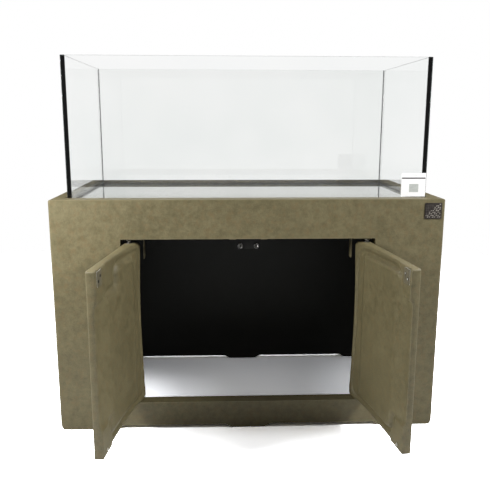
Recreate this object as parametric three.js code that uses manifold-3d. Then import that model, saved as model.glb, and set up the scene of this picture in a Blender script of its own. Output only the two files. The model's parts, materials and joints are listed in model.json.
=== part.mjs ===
// Rimless glass aquarium standing in the top recess of a moulded two-door cabinet.
// Millimetres, +X to the right, +Y towards the back, +Z up, floor at z = 0.
// Inside the cabinet group y = 0 is the front face and x = 0 the middle.
import * as THREE from 'three';
import { mergeVertices } from 'three/addons/utils/BufferGeometryUtils.js';
import Module from 'manifold-3d';

const wasm = await Module();
wasm.setup();

// ---- driving dimensions -------------------------------------------------
const CABINET = { width: 1320, depth: 690, height: 815, wall: 46, backWall: 34, ceiling: 700 };
const OPENING = { halfWidth: 429, bottom: 99, top: 682, corner: 6 };
const FOOT = { relief: 13, centreHalf: 57, ramp: 22, cornerLength: 190, chamferX: 18, chamferZ: 34 };
const RECESS = { depth: 32, corner: 12 };
const TANK = { width: 1219, depth: 600, height: 489, glass: 12, seam: 1.5, front: 62 };
const MAT = { thickness: 6, inset: 5 };
const TANK_GAP = 5;
const PIVOT = { x: 402, y: 15, pinRadius: 5, boreRadius: 5.4, bushRadius: 8, engagement: 26 };
const DOOR = {
  length: 399.5,
  face: 14.5,
  border: 9.5,
  panel: 6,
  heel: 36,
  heelBack: 25,
  bottom: 101.5,
  top: 668,
  block: 90,
  openAngle: 97,
};
const HEEL_CURVE = [[308.5, 9.5], [150, 9.5], [62, 20], [4, 36]];
const PANEL = {
  near: 50,
  low: 130,
  high: 643,
  blockLow: 190,
  blockHigh: 577,
  round: 34,
  proud: 8.5,
  fallFrom: 200,
  fallTo: 395,
};
const PANEL_LAYERS = [{ inset: 0, drop: 5 }, { inset: 4, drop: 2 }, { inset: 9, drop: 0 }];
const UPPER_PANEL = { left: { reach: 214, round: 30 }, right: { reach: 358, round: 60 } };
const BRACKET = { thickness: 3, outer: 416, inner: 356, front: 6, back: 80, bladeFront: 50, bottom: 605 };
const CATCH = { x: 27.3, z: 651.5, magnetRadius: 8.5, magnetFront: 31.4, magnetDepth: 5, plate: 2 };
const STRIKE = { width: 40, height: 46, thickness: 1.2, fromFree: 9.5, belowTop: 4 };
const BADGE = { width: 58, height: 54, thickness: 2, x: 619, z: 775 };
const LABEL = { width: 84, height: 80, thickness: 0.4, right: 608, bottom: 816 };
const SCREW = { radius: 3.6, headDepth: 1.2 };
const CURVE_STEPS = 6;
const CLEAR = 0.3;

// ---- finishes -----------------------------------------------------------
const finish = (color, roughness, metalness = 0) =>
  new THREE.MeshStandardMaterial({ color, roughness, metalness });
const khaki = finish(0x857d5c, 0.6);
const glass = finish(0xe4efec, 0.05);
const blackSilicone = finish(0x0b0c0e, 0.35);
const paleFoam = finish(0xe9eae6, 0.9);
const steel = finish(0xc4c2b8, 0.3, 1);
const darkSteel = finish(0x33332f, 0.5, 1);
const nylon = finish(0x1d1c18, 0.5);
const paper = finish(0xf6f6f4, 0.6);
const badgeMetal = finish(0x3a3833, 0.4, 1);
const clearBumper = finish(0xcfcab8, 0.4);

// ---- solid helpers ------------------------------------------------------
function toSolid(geometry) {
  const bare = geometry.clone();
  bare.deleteAttribute('normal');
  bare.deleteAttribute('uv');
  const merged = mergeVertices(bare, 1e-4);
  return new wasm.Manifold(new wasm.Mesh({
    numProp: 3,
    vertProperties: new Float32Array(merged.attributes.position.array),
    triVerts: new Uint32Array(merged.index.array),
  }));
}

function toGeometry(solid) {
  const mesh = solid.getMesh();
  const geometry = new THREE.BufferGeometry();
  geometry.setAttribute('position', new THREE.BufferAttribute(new Float32Array(mesh.vertProperties), 3));
  geometry.setIndex(new THREE.BufferAttribute(new Uint32Array(mesh.triVerts), 1));
  geometry.computeVertexNormals();
  return geometry;
}

function cut(base, ...tools) {
  return tools.reduce((solid, tool) => solid.subtract(toSolid(tool)), toSolid(base));
}

function box(x0, x1, y0, y1, z0, z1) {
  const geometry = new THREE.BoxGeometry(x1 - x0, y1 - y0, z1 - z0);
  return geometry.translate((x0 + x1) / 2, (y0 + y1) / 2, (z0 + z1) / 2);
}

function extrude(shape, depth) {
  return new THREE.ExtrudeGeometry(shape, { depth, bevelEnabled: false, curveSegments: CURVE_STEPS });
}

// Outline drawn in x, z and swept from y0 to y1.
function sweepAlongY(shape, y0, y1) {
  return extrude(shape, y1 - y0).rotateX(Math.PI / 2).translate(0, y1, 0);
}

// Outline drawn in y, z and swept from x0 to x1.
function sweepAlongX(shape, x0, x1) {
  const turn = new THREE.Matrix4().makeBasis(
    new THREE.Vector3(0, 1, 0), new THREE.Vector3(0, 0, 1), new THREE.Vector3(1, 0, 0));
  return extrude(shape, x1 - x0).applyMatrix4(turn).translate(x0, 0, 0);
}

// Outline drawn in x, y and swept from z0 to z1.
function sweepAlongZ(shape, z0, z1) {
  return extrude(shape, z1 - z0).translate(0, 0, z0);
}

function roundedRect(x0, x1, y0, y1, r) {
  const s = new THREE.Shape();
  s.moveTo(x0 + r, y0);
  s.lineTo(x1 - r, y0);
  s.absarc(x1 - r, y0 + r, r, -Math.PI / 2, 0, false);
  s.lineTo(x1, y1 - r);
  s.absarc(x1 - r, y1 - r, r, 0, Math.PI / 2, false);
  s.lineTo(x0 + r, y1);
  s.absarc(x0 + r, y1 - r, r, Math.PI / 2, Math.PI, false);
  s.lineTo(x0, y0 + r);
  s.absarc(x0 + r, y0 + r, r, Math.PI, 1.5 * Math.PI, false);
  return s;
}

function polygon(points) {
  return new THREE.Shape(points.map(([u, v]) => new THREE.Vector2(u, v)));
}

// Upright cylinder.
function post(x, y, z0, z1, radius, sides = 24) {
  const geometry = new THREE.CylinderGeometry(radius, radius, z1 - z0, sides);
  return geometry.rotateX(Math.PI / 2).translate(x, y, (z0 + z1) / 2);
}

// Cylinder whose axis runs front to back.
function stud(x, z, y0, y1, radius, sides = 20) {
  const geometry = new THREE.CylinderGeometry(radius, radius, y1 - y0, sides);
  return geometry.translate(x, (y0 + y1) / 2, z);
}

function lathe(profile, x, y, sides = 24) {
  const points = profile.map(([r, z]) => new THREE.Vector2(r, z));
  return new THREE.LatheGeometry(points, sides).rotateX(Math.PI / 2).translate(x, y, 0);
}

// ---- cabinet ------------------------------------------------------------
const halfWidth = CABINET.width / 2;
const recessFloor = CABINET.height - RECESS.depth;
const inner = {
  x: halfWidth - CABINET.wall,
  front: CABINET.wall,
  back: CABINET.depth - CABINET.backWall,
};

// Front view of the moulding: chamfered bottom corners and raised stretches between the feet.
function frontOutline() {
  const { relief, centreHalf, ramp, cornerLength, chamferX, chamferZ } = FOOT;
  const topRound = 10;
  const s = new THREE.Shape();
  s.moveTo(-halfWidth + chamferX, 0);
  s.lineTo(-halfWidth + cornerLength, 0);
  s.lineTo(-halfWidth + cornerLength + ramp, relief);
  s.lineTo(-centreHalf - ramp, relief);
  s.lineTo(-centreHalf, 0);
  s.lineTo(centreHalf, 0);
  s.lineTo(centreHalf + ramp, relief);
  s.lineTo(halfWidth - cornerLength - ramp, relief);
  s.lineTo(halfWidth - cornerLength, 0);
  s.lineTo(halfWidth - chamferX, 0);
  s.quadraticCurveTo(halfWidth, 0, halfWidth, chamferZ);
  s.lineTo(halfWidth, CABINET.height - topRound);
  s.quadraticCurveTo(halfWidth, CABINET.height, halfWidth - topRound, CABINET.height);
  s.lineTo(-halfWidth + topRound, CABINET.height);
  s.quadraticCurveTo(-halfWidth, CABINET.height, -halfWidth, CABINET.height - topRound);
  s.lineTo(-halfWidth, chamferZ);
  s.quadraticCurveTo(-halfWidth, 0, -halfWidth + chamferX, 0);
  return s;
}

function sideRelief() {
  const { relief, ramp, cornerLength } = FOOT;
  const y1 = CABINET.depth - cornerLength;
  return polygon([
    [cornerLength, -1], [y1, -1], [y1, 0], [y1 - ramp, relief],
    [cornerLength + ramp, relief], [cornerLength, 0],
  ]);
}

function cabinetShell() {
  const plan = sweepAlongZ(roundedRect(-halfWidth, halfWidth, 0, CABINET.depth, 8), -1, CABINET.height + 1);
  const body = toSolid(sweepAlongY(frontOutline(), 0, CABINET.depth)).intersect(toSolid(plan));
  const recessHalf = TANK.width / 2 + TANK_GAP;
  const recessPlan = roundedRect(
    -recessHalf, recessHalf, TANK.front - TANK_GAP, TANK.front + TANK.depth + TANK_GAP, RECESS.corner);
  const opening = roundedRect(
    -OPENING.halfWidth, OPENING.halfWidth, OPENING.bottom, OPENING.top, OPENING.corner);
  const reach = PIVOT.engagement + 1;
  const pinBores = [-1, 1].flatMap((side) => [
    post(side * PIVOT.x, PIVOT.y, OPENING.top - 1, OPENING.top + reach, PIVOT.boreRadius),
    post(side * PIVOT.x, PIVOT.y, OPENING.bottom - reach, OPENING.bottom + 1, PIVOT.boreRadius),
  ]);
  const tools = [
    box(-inner.x, inner.x, inner.front, inner.back, -1, CABINET.ceiling),
    sweepAlongY(opening, -1, inner.front + 1),
    sweepAlongZ(recessPlan, recessFloor, CABINET.height + 1),
    sweepAlongX(sideRelief(), -halfWidth - 1, halfWidth + 1),
    ...pinBores,
  ];
  return toGeometry(tools.reduce((solid, tool) => solid.subtract(toSolid(tool)), body));
}

// ---- glass tank ---------------------------------------------------------
const tankBottom = recessFloor + MAT.thickness;
const tankTop = tankBottom + TANK.height;
const tankHalf = TANK.width / 2;
const tankBack = TANK.front + TANK.depth;
const g = TANK.glass;
const seam = TANK.seam;
const sideInner = tankHalf - g;
const floorTop = tankBottom + g;

function tankPanes() {
  const sideFront = TANK.front + g + seam;
  const floorHalf = sideInner - seam;
  return {
    front_pane: box(-tankHalf, tankHalf, TANK.front, TANK.front + g, tankBottom, tankTop),
    back_pane: box(-floorHalf, floorHalf, tankBack - g, tankBack, tankBottom, tankTop),
    left_pane: box(-tankHalf, -sideInner, sideFront, tankBack, tankBottom, tankTop),
    right_pane: box(sideInner, tankHalf, sideFront, tankBack, tankBottom, tankTop),
    bottom_pane: box(-floorHalf, floorHalf, sideFront, tankBack - g - seam, tankBottom, floorTop),
  };
}

function tankSeams() {
  const y0 = TANK.front + g;
  const y1 = y0 + seam;
  const yb = tankBack - g;
  return {
    front_left_seam: box(-tankHalf, -sideInner, y0, y1, tankBottom, tankTop),
    front_right_seam: box(sideInner, tankHalf, y0, y1, tankBottom, tankTop),
    back_left_seam: box(-sideInner, -sideInner + seam, yb, tankBack, tankBottom, tankTop),
    back_right_seam: box(sideInner - seam, sideInner, yb, tankBack, tankBottom, tankTop),
    front_floor_seam: box(-sideInner + seam, sideInner - seam, y0, y1, tankBottom, floorTop),
    back_floor_seam: box(-sideInner + seam, sideInner - seam, yb - seam, yb, tankBottom, floorTop),
    left_floor_seam: box(-sideInner, -sideInner + seam, y1, yb - seam, tankBottom, floorTop),
    right_floor_seam: box(sideInner - seam, sideInner, y1, yb - seam, tankBottom, floorTop),
  };
}

function foamMat() {
  const half = tankHalf - MAT.inset;
  return box(-half, half, TANK.front + MAT.inset, tankBack - MAT.inset, recessFloor, tankBottom);
}

// ---- doors --------------------------------------------------------------
// A door is drawn closed, with its pivot axis at the origin: a runs along it to the free
// edge and n points into the cabinet. The left door has a = +x, the right door is mirrored.
function doorPlan() {
  const { length, face, heel, heelBack, block } = DOOR;
  const edge = 5;
  const arcEnd = Math.PI + Math.asin(face / heelBack);
  const s = new THREE.Shape();
  s.moveTo(length - edge, -face);
  s.quadraticCurveTo(length, -face, length, -face + edge);
  s.lineTo(length, face - edge);
  s.quadraticCurveTo(length, face, length - edge, face);
  s.lineTo(length - block + 4, face);
  const [start, first, second, end] = HEEL_CURVE;
  s.lineTo(...start);
  s.bezierCurveTo(...first, ...second, ...end);
  s.lineTo(-heelBack + edge, heel);
  s.quadraticCurveTo(-heelBack, heel, -heelBack, heel - edge);
  s.lineTo(-heelBack, 0);
  s.absarc(0, 0, heelBack, Math.PI, arcEnd, false);
  s.lineTo(length - edge, -face);
  return s;
}

function doorElevation() {
  const { length, heelBack, bottom, top } = DOOR;
  const hingeRound = 15;
  const freeRound = 5;
  const s = new THREE.Shape();
  s.moveTo(-heelBack + hingeRound, bottom);
  s.lineTo(length - freeRound, bottom);
  s.quadraticCurveTo(length, bottom, length, bottom + freeRound);
  s.lineTo(length, top - freeRound);
  s.quadraticCurveTo(length, top, length - freeRound, top);
  s.lineTo(-heelBack + hingeRound, top);
  s.quadraticCurveTo(-heelBack, top, -heelBack, top - hingeRound);
  s.lineTo(-heelBack, bottom + hingeRound);
  s.quadraticCurveTo(-heelBack, bottom, -heelBack + hingeRound, bottom);
  return s;
}

// The heel is drawn in by a few millimetres between its upper and lower ends.
function heelScallop() {
  const inset = 9;
  const mid = 430;
  const reach = 285;
  const s = new THREE.Shape();
  s.moveTo(DOOR.heel + 1, mid - reach);
  s.quadraticCurveTo(DOOR.heel - 2 * inset, mid, DOOR.heel + 1, mid + reach);
  s.lineTo(DOOR.heel + 20, mid);
  return sweepAlongX(s, -DOOR.heelBack - 1, 130);
}

// Level of the inner panel's surface along the door, from the free edge to the hinge.
function panelLevels() {
  const flat = [394.5, 380, 365, 350, 335, 320].map((a) => new THREE.Vector2(a, DOOR.border));
  const corners = HEEL_CURVE.map(([a, n]) => new THREE.Vector2(a, n));
  const curve = new THREE.CubicBezierCurve(...corners).getPoints(12).filter(({ x }) => x > PANEL.near);
  return [...flat, ...curve].map(({ x, y }) => {
    const fall = THREE.MathUtils.smoothstep(x, PANEL.fallFrom, PANEL.fallTo);
    return [x, THREE.MathUtils.lerp(Math.min(y + PANEL.proud, DOOR.heel), DOOR.panel, fall)];
  });
}

// Block between the panel's surface, lowered by drop, and the level limit.
function panelBlock(limit, drop) {
  const surface = panelLevels().map(([a, n]) => [a, Math.max(n - drop, DOOR.panel - 0.8)]);
  const s = new THREE.Shape();
  s.moveTo(DOOR.length + 2, limit);
  s.lineTo(DOOR.length + 2, surface[0][1]);
  for (const [a, n] of surface) {
    s.lineTo(a, n);
  }
  s.lineTo(PANEL.near - 2, DOOR.heel - drop);
  s.lineTo(PANEL.near - 2, limit);
  s.lineTo(DOOR.length + 2, limit);
  return sweepAlongZ(s, PANEL.low - 5, PANEL.high + 5);
}

// The panel's outline, drawn in by inset; it runs out through the free edge between the corner blocks.
function panelOutline({ reach, round: upperRound }, inset) {
  const { round } = PANEL;
  const near = PANEL.near + inset;
  const low = PANEL.low + inset;
  const high = PANEL.high - inset;
  const blockLow = PANEL.blockLow + inset;
  const blockHigh = PANEL.blockHigh - inset;
  const block = DOOR.length - DOOR.block - inset;
  const end = reach - inset;
  const out = DOOR.length + 2;
  const s = new THREE.Shape();
  s.moveTo(near + round, low);
  s.lineTo(block - round, low);
  s.quadraticCurveTo(block, low, block + round, blockLow);
  s.lineTo(out, blockLow);
  s.lineTo(out, blockHigh);
  s.lineTo(end + upperRound / 2, blockHigh);
  s.quadraticCurveTo(end, blockHigh, end, blockHigh + upperRound / 2);
  s.quadraticCurveTo(end, high, end - upperRound, high);
  s.lineTo(near + round, high);
  s.quadraticCurveTo(near, high, near, high - round);
  s.lineTo(near, low + round);
  s.quadraticCurveTo(near, low, near + round, low);
  return sweepAlongY(s, 0, DOOR.heel + 5);
}

function doorSolid(upperPanel) {
  const { bottom, top } = DOOR;
  const plan = toSolid(sweepAlongZ(doorPlan(), bottom - 1, top + 1));
  const elevation = toSolid(sweepAlongY(doorElevation(), -DOOR.face - 1, DOOR.heel + 1));
  const hollow = toSolid(panelOutline(upperPanel, 0)).intersect(toSolid(panelBlock(DOOR.heel + 5, 0)));
  const layers = PANEL_LAYERS.map(({ inset, drop }) =>
    toSolid(panelOutline(upperPanel, inset)).intersect(toSolid(panelBlock(0, drop))));
  const lowered = plan.intersect(elevation).subtract(hollow);
  const panelled = layers.reduce((solid, layer) => solid.add(layer.intersect(elevation)), lowered);
  const { z0, z1 } = bushSpans();
  const seat = PIVOT.bushRadius + CLEAR;
  const tools = [
    heelScallop(),
    post(0, 0, z1 - CLEAR, top + 1, seat),
    post(0, 0, bottom - 1, z0 + CLEAR, seat),
  ];
  return tools.reduce((solid, tool) => solid.subtract(toSolid(tool)), panelled);
}

function bushSpans() {
  const depth = PIVOT.engagement + 2;
  return { z0: DOOR.bottom + depth, z1: DOOR.top - depth };
}

// Sleeve lining the door's pivot bore; sign +1 opens upwards, -1 downwards.
function bush(mouth, sign) {
  const depth = PIVOT.engagement + 1;
  const r = PIVOT.bushRadius;
  const profile = [
    [PIVOT.boreRadius, mouth], [r, mouth],
    [r, mouth - sign * depth], [PIVOT.boreRadius, mouth - sign * depth],
  ];
  if (sign > 0) {
    profile.reverse();
  }
  profile.push(profile[0]);
  return lathe(profile, 0, 0);
}

function strikePlate() {
  const a1 = DOOR.length - STRIKE.fromFree;
  const a0 = a1 - STRIKE.width;
  const z1 = DOOR.top - STRIKE.belowTop;
  const outline = roundedRect(a0, a1, z1 - STRIKE.height, z1, 3);
  const y0 = DOOR.face + 0.1;
  const holes = strikeScrewSpots().map(([a, z]) => stud(a, z, y0 - 1, y0 + STRIKE.thickness + 1, 2.2));
  return toGeometry(cut(sweepAlongY(outline, y0, y0 + STRIKE.thickness), ...holes));
}

function strikeScrewSpots() {
  const a = DOOR.length - STRIKE.fromFree - STRIKE.width / 2;
  const z = DOOR.top - STRIKE.belowTop - STRIKE.height / 2;
  return [[a - 8, z + 6], [a + 8, z - 7]];
}

// ---- scene graph --------------------------------------------------------
const cabinet = new THREE.Group();

function add(parent, name, geometry, material) {
  const mesh = new THREE.Mesh(geometry, material);
  mesh.name = name;
  parent.add(mesh);
  return mesh;
}

add(cabinet, 'cabinet_shell', cabinetShell(), khaki);
Object.entries(tankPanes()).forEach(([name, geometry]) => add(cabinet, name, geometry, glass));
Object.entries(tankSeams()).forEach(([name, geometry]) => add(cabinet, name, geometry, blackSilicone));
add(cabinet, 'foam_mat', foamMat(), paleFoam);

// Everything on a door is built for the left side; mirroring keeps the right side a true mirror image.
function mirrored(geometry) {
  const copy = geometry.clone().scale(-1, 1, 1);
  const source = copy.index ? copy : mergeVertices(copy);
  const index = source.index.array;
  for (let i = 0; i < index.length; i += 3) {
    [index[i], index[i + 1]] = [index[i + 1], index[i]];
  }
  return source;
}

function buildDoor(sideName, side) {
  const group = new THREE.Group();
  const hand = (geometry) => (side < 0 ? geometry : mirrored(geometry));
  const put = (name, geometry, material) => add(group, `${sideName}_${name}`, hand(geometry), material);
  const { length, face, bottom, top } = DOOR;
  put('door', toGeometry(doorSolid(UPPER_PANEL[sideName])), khaki);
  put('upper_bush', bush(top, 1), nylon);
  put('lower_bush', bush(bottom, -1), nylon);
  put('strike_plate', strikePlate(), steel);
  strikeScrewSpots().forEach(([a, z], i) => {
    const y = face + 0.1 + STRIKE.thickness + 0.1;
    put(`strike_screw_${i + 1}`, stud(a, z, y, y + SCREW.headDepth, SCREW.radius, 12), darkSteel);
  });
  put('bumper', stud(length - 36, bottom + 16, face + 0.1, face + 3.1, 5), clearBumper);
  group.position.set(side * PIVOT.x, PIVOT.y, 0);
  group.rotation.z = THREE.MathUtils.degToRad(side * DOOR.openAngle);
  cabinet.add(group);
}

function buildHingeHardware(sideName, side) {
  const { x, y, pinRadius, boreRadius, engagement } = PIVOT;
  const put = (name, geometry, material) => add(cabinet, `${sideName}_${name}`, geometry, material);
  const tip = engagement - 3;
  const flangeTop = OPENING.top - BRACKET.thickness - CLEAR;
  const flangeBottom = flangeTop - 2.5;
  const upper = [
    [0, DOOR.top - tip], [pinRadius, DOOR.top - tip], [pinRadius, flangeBottom], [11, flangeBottom],
    [11, flangeTop], [pinRadius, flangeTop],
    [pinRadius, OPENING.top + engagement], [0, OPENING.top + engagement],
  ];
  put('upper_pin', lathe(upper, side * x, y), steel);
  const lower = [
    [0, OPENING.bottom - engagement], [pinRadius, OPENING.bottom - engagement],
    [pinRadius, DOOR.bottom + tip], [0, DOOR.bottom + tip],
  ];
  put('lower_pin', lathe(lower, side * x, y), steel);
  const w0 = OPENING.bottom;
  const w1 = DOOR.bottom - CLEAR;
  const washer = [[boreRadius, w0], [10, w0], [10, w1], [boreRadius, w1], [boreRadius, w0]];
  put('thrust_washer', lathe(washer, side * x, y), nylon);
  put('hinge_bracket', hingeBracket(side), khaki);
  const screwTop = OPENING.top - BRACKET.thickness - 0.1;
  [[374, 16], [402, 38]].forEach(([screwX, screwY], i) => {
    const head = post(side * screwX, screwY, screwTop - 2, screwTop, 4, 12);
    put(`bracket_screw_${i + 1}`, head, darkSteel);
  });
}

// Bent plate under the head of the opening: it carries the upper pin, and its blade hangs
// down behind the closed door.
function hingeBracket(side) {
  const { thickness, outer, inner: tip, front, back, bladeFront, bottom } = BRACKET;
  const top = OPENING.top;
  const span = (u, v) => (side < 0 ? [-u, -v] : [v, u]);
  const [leg0, leg1] = span(outer, tip);
  const [blade0, blade1] = span(tip + thickness, tip);
  const leg = toSolid(box(leg0, leg1, front, back, top - thickness, top));
  const blade = toSolid(box(blade0, blade1, bladeFront, back, bottom, top));
  const bore = toSolid(post(side * PIVOT.x, PIVOT.y, top - thickness - 1, top + 1, PIVOT.boreRadius));
  return toGeometry(leg.add(blade).subtract(bore));
}

function buildCatch() {
  const { x, z, magnetRadius, magnetFront, magnetDepth, plate } = CATCH;
  const blockHalf = 65;
  const blockBottom = 672;
  const plateFront = magnetFront + magnetDepth + 0.1;
  const blockFront = plateFront + plate;
  const batten = box(-blockHalf, blockHalf, blockFront, CABINET.wall, blockBottom, OPENING.top);
  add(cabinet, 'catch_block', batten, khaki);
  const plateOutline = roundedRect(-42, 42, z - 11, OPENING.top - 1, 3);
  add(cabinet, 'catch_plate', sweepAlongY(plateOutline, plateFront, blockFront), darkSteel);
  [['left', -1], ['right', 1]].forEach(([sideName, side]) => {
    const body = stud(side * x, z, magnetFront, magnetFront + magnetDepth, magnetRadius, 24);
    const bore = stud(side * x, z, magnetFront - 1, magnetFront + magnetDepth + 1, 3.2, 16);
    add(cabinet, `${sideName}_magnet`, toGeometry(cut(body, bore)), steel);
    const screw = stud(side * x, z, magnetFront + 1, magnetFront + magnetDepth, 2.9, 12);
    add(cabinet, `${sideName}_magnet_screw`, screw, darkSteel);
  });
}

[['left', -1], ['right', 1]].forEach(([sideName, side]) => {
  buildDoor(sideName, side);
  buildHingeHardware(sideName, side);
});
buildCatch();

const badgeX = BADGE.width / 2;
const badgeZ = BADGE.height / 2;
const badgePlan = roundedRect(BADGE.x - badgeX, BADGE.x + badgeX, BADGE.z - badgeZ, BADGE.z + badgeZ, 2);
add(cabinet, 'badge_plate', sweepAlongY(badgePlan, -BADGE.thickness, 0), badgeMetal);
const labelBack = TANK.front;
const labelLeft = LABEL.right - LABEL.width;
const label = box(
  labelLeft, LABEL.right, labelBack - LABEL.thickness, labelBack, LABEL.bottom, LABEL.bottom + LABEL.height);
add(cabinet, 'glass_label', label, paper);

// The origin is on the floor under the middle of the whole object, doors open.
const aquarium = new THREE.Group();
aquarium.add(cabinet);
const extent = new THREE.Box3().setFromObject(aquarium, true);
cabinet.position.y = -Math.round(extent.min.y + extent.max.y) / 2;

export default aquarium;
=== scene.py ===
"""Aquarium on a moulded two-door stand: the visual model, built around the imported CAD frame.

Metres, +X to the right, +Y towards the back, +Z up, floor at z = 0.
"""
import json
import math

import bmesh
import bpy
from mathutils import Matrix, Vector


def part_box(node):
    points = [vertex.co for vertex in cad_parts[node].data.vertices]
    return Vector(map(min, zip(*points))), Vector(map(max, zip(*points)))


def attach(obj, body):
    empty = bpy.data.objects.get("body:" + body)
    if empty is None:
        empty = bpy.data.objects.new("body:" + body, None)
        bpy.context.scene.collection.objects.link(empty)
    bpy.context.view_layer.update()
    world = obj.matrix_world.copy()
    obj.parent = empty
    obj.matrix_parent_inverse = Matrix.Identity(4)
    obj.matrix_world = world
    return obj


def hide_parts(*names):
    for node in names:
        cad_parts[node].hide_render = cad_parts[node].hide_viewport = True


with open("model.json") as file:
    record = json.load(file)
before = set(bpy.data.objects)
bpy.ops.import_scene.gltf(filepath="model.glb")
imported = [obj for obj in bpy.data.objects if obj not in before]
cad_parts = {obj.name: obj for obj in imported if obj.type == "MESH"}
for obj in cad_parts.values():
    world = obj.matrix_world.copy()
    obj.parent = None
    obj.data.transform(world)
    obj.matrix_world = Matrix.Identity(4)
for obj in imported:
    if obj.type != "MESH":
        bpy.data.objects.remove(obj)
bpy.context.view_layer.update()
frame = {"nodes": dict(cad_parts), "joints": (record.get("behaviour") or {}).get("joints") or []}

CABINET_BODY = "cabinet"
SIDES = {"left": -1, "right": 1}
JOINTS = {joint["name"]: joint for joint in frame["joints"]}

# ---- driving dimensions ----------------------------------------------------
CAMERA_PLACE = Vector((-0.0928, -2.1969, 1.0746))
CAMERA_YAW, CAMERA_PITCH, CAMERA_ROLL = 2.237, 11.419, 0.125
CAMERA_LENS, SENSOR = 45.70, 36.0
AMBIENT, FLOOR_GAIN = 0.06, 4.0
# Each light: place, target, width, height and power in watts.
LIGHTS = {
    "left_key": ((-1.3, -0.75, 1.25), (-0.3, -0.15, 0.6), 0.4, 0.4, 32.0),
    "right_key": ((2.2, -1.15, 2.2), (0.0, 0.0, 0.45), 0.45, 0.45, 59.0),
    "right_fill": ((1.35, -0.8, 1.7), (0.3, -0.15, 0.6), 0.4, 0.4, 13.0),
    "top_light": ((0.0, 0.1, 3.2), (0.0, 0.0, 0.5), 2.6, 1.8, 31.0),
    "back_left": ((-2.6, 2.3, 1.5), (0.0, 0.4, 0.5), 0.9, 0.9, 24.0),
    "back_right": ((2.6, 2.3, 1.5), (0.0, 0.4, 0.5), 0.9, 0.9, 24.0),
    "cabinet_fill": ((0.0, 0.15, 0.62), (0.0, 0.15, 0.0), 0.9, 0.4, 0.4),
}

SHELL_ROUND, MOUTH_ROUND = 0.0035, 0.009
MOUTH = {"x": 0.625, "front": -0.11, "back": 0.52}
# Faces smaller than this, in square metres, keep the outer finish rather than the painted interior shade.
SHADE_MIN_AREA = 1e-3
# Box of the cabinet's inside: faces within it get a near-black painted shade.
SHADED_INTERIOR = {"x": 0.6145, "front": 0.0455, "back": 0.6565, "top": 0.7005}

DOOR = {"length": 0.3995, "face": 0.0145, "border": 0.0095, "panel": 0.006, "heel": 0.036,
        "heel_back": 0.025, "block": 0.309, "edge": 0.0045, "hinge_round": 0.015, "free_round": 0.006,
        "heel_round": 0.016, "pillow": 0.0085}
PANEL = {"near": 0.004, "low": 0.130, "high": 0.643, "block_low": 0.190, "block_high": 0.577}
# How far the panel's upper part reaches from the pivot, and its corner radius.
UPPER_PANEL = {"left": (0.214, 0.030), "right": (0.358, 0.060)}
# Depth of the groove round the panel, and width of the panel's rounded shoulder.
GROOVE = {"left": (0.0035, 0.024), "right": (0.0065, 0.014)}
SCALLOP = {"low": 0.145, "span": 0.570, "brim": 0.037, "depth": 0.038}


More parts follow.
